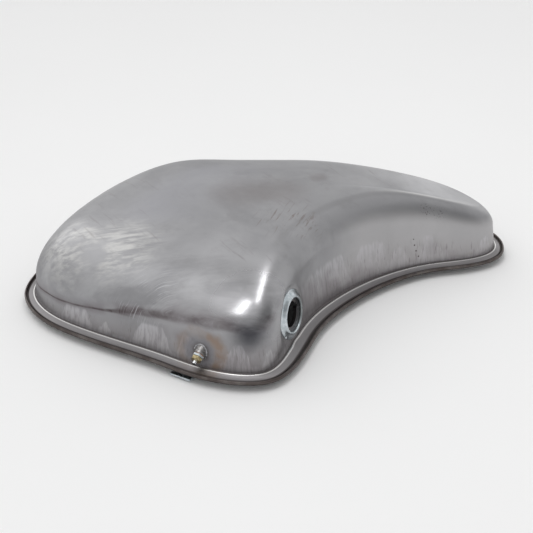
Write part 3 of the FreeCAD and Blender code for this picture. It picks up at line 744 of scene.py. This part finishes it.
class ShellPaint(Paint):
    """The drawn sheet of the upper shell. Each method lays one group of marks over the last."""

    def __init__(self, name):
        super().__init__(name)
        self.rise = self.attribute("rise")
        self.x = self.axis(0)
        self.y = self.axis(1)

    def region(self, name):
        """The mask of one region of REGIONS."""
        along = {"rise": self.rise, "x": self.x, "y": self.y}
        return self.times(*[self.band(along[key], start, full) for key, start, full in REGIONS[name]])

    def sheet(self):
        """Broad soft patches and a rolling grain, with painted light: a painted reflection that makes the left
        crown lighter and bluer, a painted highlight along the tail's crest and painted light on the side wall.
        """
        patches = self.noise(7, 4, 0.6, twist=0.4)
        self.colour = self.mix(STEEL_DARK, STEEL_LIGHT, self.band(patches, 0.3, 0.7))
        self.lay("smoke", self.band(self.noise(38, 4, 0.65), 0.5, 0.8))
        # Painted reflection: the left part of the crown is made lighter and bluer.
        self.lay("lit left crown", self.region("left crown"))
        # Painted highlight along the tail's crest.
        self.lay("painted crest highlight", self.region("tail crest"))
        # Painted light: the side wall is made lighter.
        self.lay("lit side wall", self.region("side wall"))
        return patches

    def walls(self):
        """Upright draw marks on the walls, each column ending at its own height, darker patches, and painted shade
        over the left end.
        """
        plan = self.stretch((1.0, 1.0, 0.0))
        fall = self.stretch((1.0, 1.0, 0.03))
        wall = self.region("wall")
        streak = self.noise(330, 2, 0.7, fall)
        height = self.scaled(self.band(self.noise(26, 4, 0.5, plan), 0.4, 0.6), 0.62, 0.12)
        below = self.band(self.math("SUBTRACT", self.rise, height), 0.06, -0.04)
        drawn = self.scaled(self.band(streak, 0.36, 0.6), 0.75, 0.15)
        self.lay("draw mark", self.times(wall, below, drawn))
        lines = self.band(self.noise(480, 2, 0.6, fall), 0.58, 0.7)
        self.lay("dark line", self.times(wall, lines, self.region("below the wall's top")))
        self.lay("warm wall", self.region("wall foot"))
        self.lay("wall shade", self.times(wall, self.band(self.noise(11, 3, 0.6), 0.5, 0.68)))
        # Painted shade over the left end of the wall.
        self.lay("shaded left end", self.region("left end"))
        return wall, streak

    def stain_and_dark_reflection(self):
        """A smeared stain along the line where the front shoulder leaves the wall, thick above the outlet. The
        line is partly a painted dark reflection, thin to the left, with painted shade in a cloud round it and a
        blob on the corner that is partly stain and partly painted dark reflection.
        """
        front = self.region("front")
        level = self.scaled(self.band(self.x, -0.16, 0.06), 0.34, 0.67)
        smear = self.noise(9, 3, 0.55, self.mapped(0, (1.0, 1.0, 3.0)), 0.6)
        away = self.off(self.rise, self.scaled(smear, 0.3, level))
        width = self.scaled(self.band(self.x, -0.09, -0.04), 0.1, 0.055)
        core = self.math("SUBTRACT", 1.0, self.math("DIVIDE", away, width), clamp=True)
        torn = self.scaled(self.band(self.noise(55, 3, 0.6, twist=1.0), 0.36, 0.56), 0.35, 0.65)
        stain_and_dark_reflection = self.times(front, self.band(core, 0.0, 0.8), torn)
        # The line is partly a real stain and partly a painted dark reflection.
        self.lay("stain_and_dark_reflection", stain_and_dark_reflection)
        cloud = self.band(self.noise(22, 3), 0.32, 0.62)
        # Painted shade in a cloud round the stain's line.
        self.lay("shade round the stain", self.times(front, self.band(away, 0.26, 0.03), cloud))
        blob = self.band(self.away_from(STAIN_AND_REFLECTION_BLOB, 40, 0.014), 0.034, 0.002)
        # The corner blob is partly stain and partly a painted dark reflection.
        self.lay("stain and reflection blob", blob)
        return self.most((stain_and_dark_reflection, blob))

    def outlet_heat(self):
        """Heat tint round the welded boss: blue-grey inside, a brown ring outside, stronger to the right."""
        spot = self.away_from(OUTLET_AT, 38, 0.022)
        self.lay("heat blue", self.band(spot, 0.024, 0.012))
        ring = self.times(self.band(spot, 0.014, 0.023), self.band(spot, 0.034, 0.025))
        to_right = self.scaled(self.band(self.x, 0.03, 0.065), 0.5, 0.5)
        uneven = self.scaled(self.band(self.noise(60, 3, 0.6), 0.35, 0.6), 0.6, 0.4)
        self.lay("heat brown", self.times(ring, to_right, uneven))
        self.lay("soot", self.band(self.away_from(OUTLET_AT, 150, 0.006), 0.014, 0.008))

    def shoulder(self):
        """Brushed, rubbed and polished places on the front shoulder, the polished ones lightened as a painted
        highlight, a painted dark reflection band across the shoulder, and swirls left by a grinder.
        """
        shoulder = self.region("front shoulder")
        brush = self.noise(34, 5, 0.6, self.mapped(28, (0.22, 1.0, 1.0)), 0.5)
        self.lay("rubbed", self.times(shoulder, self.band(brush, 0.4, 0.64)))
        self.lay("dulled", self.times(shoulder, self.band(brush, 0.5, 0.3)))
        middle = self.band(self.off(self.rise, 1.78), 0.24, 0.05)
        # Painted dark reflection in a band across the front shoulder.
        self.lay("dark reflection band", self.times(middle, self.region("shoulder band")))
        strokes = self.noise(150, 3, 0.65, self.mapped(32, (0.14, 1.0, 1.0)))
        near = self.most([self.band(self.away_from(place, 20, 0.03), 0.07, 0.012) for place in POLISHED_AND_HIGHLIGHT])
        broken = self.band(self.noise(24, 3, 0.6), 0.36, 0.58)
        # The polished places are lightened as a painted highlight.
        polished_and_highlight = self.times(near, self.band(strokes, 0.38, 0.62), broken)
        self.lay("polished_and_highlight", polished_and_highlight)
        turns = self.ripples(self.away_from(SWIRL_CENTRE, 20, 0.012), 560)
        near = self.band(self.away(SWIRLS), 0.048, 0.015)
        broken = self.band(self.noise(45, 3), 0.38, 0.62)
        self.lay("swirl", self.times(self.band(turns, 0.48, 0.7), near, broken))
        return strokes, polished_and_highlight

    def seam(self):
        """Scale on the flange, a painted highlight on the seam's bead, and painted shade at the wall's foot and in
        the groove at the flange's edge.
        """
        bead = self.region("seam bead highlight")
        self.lay("weld scale", self.region("flange"))
        # Painted highlight on the seam's bead.
        self.lay("seam bead highlight", bead)
        # Painted shade at the wall's foot.
        self.lay("shaded seam foot", self.region("shaded seam foot"))
        # Painted shade in the groove.
        self.lay("shaded groove", self.region("shaded groove"))
        return bead

    def top(self):
        """Rub marks, brown scratches and smudges on the top, and a painted dark reflection line along the side."""
        rubs = self.band(self.noise(170, 3, 0.6, self.mapped(-28, (0.1, 1.0, 1.0))), 0.56, 0.72)
        self.lay("rub mark", self.times(rubs, self.band(self.noise(9, 2), 0.46, 0.6), self.region("top")))
        cuts = self.band(self.noise(260, 3, 0.7, self.mapped(8, (1.0, 0.09, 1.0))), 0.54, 0.66)
        self.lay("scratch", self.times(cuts, self.band(self.away(SCRATCHES), 0.055, 0.015)))
        for place, reach in SMUDGES:
            self.lay("smudge", self.band(self.away_from(place, 50, 0.02), reach, reach * 0.2))
        dark_reflection_line = self.band(self.off(self.rise, 1.87), 0.13, 0.02)
        # Painted dark reflection along the side's shoulder.
        self.lay("side dark reflection", self.times(self.region("side dark reflection"), dark_reflection_line))

    def pits(self):
        """Pits in a line and specks of rust on the side."""
        grit = self.band(self.noise(520, 2, 0.7), 0.6, 0.66)
        marks = [self.times(grit, self.band(self.away(place), 0.013, 0.004)) for place in SPECKS]
        marks += [self.band(self.away(place), 0.0013, 0.0006) for place in PITS]
        pits = self.most(marks)
        self.lay("pit", pits)
        return pits


def shell_steel():
    """The whole of the upper shell's paint, then its gloss and its grain."""
    paint = ShellPaint("raw_drawn_steel")
    patches = paint.sheet()
    wall, streak = paint.walls()
    stain_and_dark_reflection = paint.stain_and_dark_reflection()
    paint.outlet_heat()
    strokes, polished_and_highlight = paint.shoulder()
    bead = paint.seam()
    paint.top()
    pits = paint.pits()
    paint.set("Base Color", paint.colour)
    paint.set("Metallic", 1.0)

    corner = paint.band(paint.away(CORNER), 0.095, 0.015)
    speckle = paint.times(paint.noise(120, 4, 0.7), paint.scaled(corner, -0.09, 0.1))
    dull = paint.math("ADD", speckle, paint.scaled(paint.band(patches, 0.25, 0.75), -0.06, 0.4))
    for mask, change in ((stain_and_dark_reflection, 0.15), (polished_and_highlight, -0.09), (corner, -0.17), (bead, -0.14)):
        dull = paint.scaled(mask, change, dull)
    paint.set("Roughness", dull)

    grain = paint.bump(paint.noise(900, 3, 0.6), 0.000012)
    brushed = paint.bump(strokes, 0.00004, 0.25, grain)
    pitted = paint.bump(pits, -0.0003, 1.0, brushed)
    paint.set("Normal", paint.bump(streak, 0.00006, paint.scaled(wall, 0.5), pitted))
    return paint.material


def pan_steel():
    """Bare sheet, browned by the seam weld on its lip, with painted shade on the lip's lower part."""
    paint = Paint("raw_pan_steel")
    patches = paint.noise(9, 4, 0.6, twist=0.4)
    bare = paint.mix((0.3, 0.295, 0.3), (0.4, 0.395, 0.4), paint.band(patches, 0.3, 0.7))
    scale = paint.band(paint.noise(45, 4, 0.6), 0.35, 0.7)
    paint.colour = paint.mix((0.08, 0.065, 0.06), (0.16, 0.142, 0.135), scale)
    # Painted shade on the lower part of the lip.
    paint.lay("shaded lip underside", paint.band(paint.axis(2), 0.0102, 0.0088))
    paint.set("Base Color", paint.mix(bare, paint.colour, paint.scaled(paint.attribute("lip"), 0.95)))
    paint.set("Metallic", 1.0)
    paint.set("Roughness", paint.scaled(paint.noise(90, 4, 0.7), 0.14, 0.34))
    paint.set("Normal", paint.bump(paint.noise(700, 3, 0.6), FINE_GRAIN))
    return paint.material


def floor_paint():
    paint = Paint("pale_floor")
    paint.set("Base Color", paint.mix((0.93, 0.93, 0.93), (0.95, 0.95, 0.95), paint.noise(3)))
    paint.set("Roughness", 0.8)
    return paint.material


MATERIALS = {
    "shell_steel": shell_steel(),
    "pan_steel": pan_steel(),
    "inner_steel": metal("inner_sheet", (0.2, 0.2, 0.2), (0.3, 0.3, 0.3), 0.4, 0.6),
    "zinc_plate": zinc_plating(),
    "boss_steel": metal("turned_steel", (0.16, 0.155, 0.15), (0.42, 0.41, 0.41), 0.3, 0.5, 330),
    "bright_steel": metal("bright_tube", (0.66, 0.67, 0.68), (0.78, 0.79, 0.8), 0.12, 0.22, 200),
    "brass": metal("turned_brass", (0.27, 0.22, 0.12), (0.56, 0.47, 0.28), 0.2, 0.38, 260),
    "washer_copper": metal("copper_washer", (0.5, 0.26, 0.16), (0.66, 0.38, 0.25), 0.25, 0.4, 220),
    "gauze": metal("brass_gauze", (0.4, 0.3, 0.14), (0.6, 0.48, 0.24), 0.35, 0.5, 900),
}
WELD = metal("weld_metal", (0.24, 0.24, 0.25), (0.5, 0.5, 0.52), 0.28, 0.5, 320, 0.0001)


def paint_frame():
    """Puts the materials on the CAD nodes."""
    slots = {row["node"]: row["material_slot"] for row in frame["record"]["subparts"]}
    for name, node in frame["nodes"].items():
        node.data.materials.clear()
        node.data.materials.append(MATERIALS[slots[name]])


def dress(made, slot, *nodes, material=None):
    """Paints a made piece, puts it on the tank's body and hides the CAD nodes it replaces."""
    made.data.materials.append(material or MATERIALS[slot])
    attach(made, "tank")
    if nodes:
        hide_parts(*nodes)


# ------------------------------------------------------------------ stage, lights and camera

FLOOR_REACH = 6.0      # metres from the middle to an edge
FLOOR_GAP = 0.0002
LAMP_DISTANCE = 1.3

# Rectangular lamps: name, direction from the front corner, way of the long side, width, length, power.
LAMPS = (
    ("lamp", (-0.13, -0.2, 0.96), (0.0, 1.0, 0.0), 0.1, 0.5, 1.1),
    ("strip", (-0.04, 0.32, 0.95), (-0.26, 0.71, 0.0), 0.14, 0.85, 1.7),
)

# The room's light: an even level, then a glow (or a dimming, below 0) round each direction. It fades from
# full where the cosine of the angle to the direction is the second figure to none at the first.
ROOM_LIGHT = 0.8
GLOWS = (
    ((-0.77, 0.36, 0.53), 0.8, 0.98, 0.5),       # wide soft box to the left
    ((0.8, -0.12, 0.62), 0.78, 0.96, -0.45),     # dim corner to the right
    ((-0.05, 0.97, 0.14), 0.94, 0.995, 0.85),    # bright screen low behind
    ((-0.2, 0.62, 0.76), 0.84, 0.97, -0.14),     # slight dimming above the screen
    ((-0.12, -0.05, 1.0), 0.9, 0.985, 0.4),      # soft box overhead
)

# The camera that matches the photograph, with angles in degrees and lengths in metres.
VIEW_FIELD = 25
VIEW_ELEVATION = 30
VIEW_AZIMUTH = 28.5
VIEW_AIM = (0.040, -0.064, 0.0556)
VIEW_DISTANCE = 1.4305
SENSOR_WIDTH = 36


def add_floor():
    """A plain pale floor just below the part."""
    mesh = bpy.data.meshes.new("floor")
    level = cad_low.z - FLOOR_GAP
    corners = [(x * FLOOR_REACH, y * FLOOR_REACH, level) for x, y in ((-1, -1), (1, -1), (1, 1), (-1, 1))]
    mesh.from_pydata(corners, [], [(0, 1, 2, 3)])
    floor = bpy.data.objects.new("floor", mesh)
    floor.data.materials.append(floor_paint())
    bpy.context.scene.collection.objects.link(floor)


def add_light(name, direction, along, width, length, power):
    """A lamp that shines on the front corner; its row in LAMPS says from where."""
    light = bpy.data.lights.new(name, "AREA")
    light.shape = "RECTANGLE"
    light.size = width
    light.size_y = length
    light.energy = power
    back = Vector(direction).normalized()
    side = Vector(along).cross(back).normalized()
    made = bpy.data.objects.new(name, light)
    made.location = Vector(CORNER) * MM + back * LAMP_DISTANCE
    made.rotation_euler = Matrix((side, back.cross(side), back)).transposed().to_euler()
    bpy.context.scene.collection.objects.link(made)


def add_world():
    """A pale room made of ROOM_LIGHT and GLOWS."""
    world = bpy.data.worlds.new("studio")
    bpy.context.scene.world = world
    world.use_nodes = True
    tree = world.node_tree
    place = tree.nodes.new("ShaderNodeTexCoord").outputs["Generated"]
    light = None
    for direction, low, high, amount in GLOWS:
        dot = tree.nodes.new("ShaderNodeVectorMath")
        dot.operation = "DOT_PRODUCT"
        dot.inputs[1].default_value = Vector(direction).normalized()
        tree.links.new(place, dot.inputs[0])
        fade = tree.nodes.new("ShaderNodeMapRange")
        fade.interpolation_type = "SMOOTHSTEP"
        tree.links.new(dot.outputs["Value"], fade.inputs[0])
        fade.inputs[1].default_value = low
        fade.inputs[2].default_value = high
        add = tree.nodes.new("ShaderNodeMath")
        add.operation = "MULTIPLY_ADD"
        tree.links.new(fade.outputs[0], add.inputs[0])
        add.inputs[1].default_value = amount
        if light is None:
            add.inputs[2].default_value = ROOM_LIGHT
        else:
            tree.links.new(light, add.inputs[2])
        light = add.outputs[0]
    background = tree.nodes["Background"]
    background.inputs[0].default_value = (1.0, 1.0, 1.0, 1.0)
    tree.links.new(light, background.inputs[1])


def add_camera():
    """The photograph's view, aimed at VIEW_AIM."""
    elevation = math.radians(VIEW_ELEVATION)
    azimuth = math.radians(VIEW_AZIMUTH)
    back = Vector((math.sin(azimuth) * math.cos(elevation), -math.cos(azimuth) * math.cos(elevation),
                   math.sin(elevation)))
    camera = bpy.data.cameras.new("camera")
    camera.sensor_width = SENSOR_WIDTH
    camera.lens = SENSOR_WIDTH / 2 / math.tan(math.radians(VIEW_FIELD) / 2)
    made = bpy.data.objects.new("camera", camera)
    made.location = Vector(VIEW_AIM) + back * VIEW_DISTANCE
    made.rotation_euler = (math.pi / 2 - elevation, 0, azimuth)
    bpy.context.scene.collection.objects.link(made)
    bpy.context.scene.camera = made


add_camera()
add_world()
add_floor()
for lamp in LAMPS:
    add_light(*lamp)
bpy.context.scene.view_settings.view_transform = "Standard"

paint_frame()
dress(upper_shell(), "shell_steel", "upper_shell")
dress(bottom_pan(), "pan_steel", "bottom_pan")
dress(neck_ring(), "zinc_plate", "neck_ring")
dress(weld_bead(), "shell_steel", material=WELD)
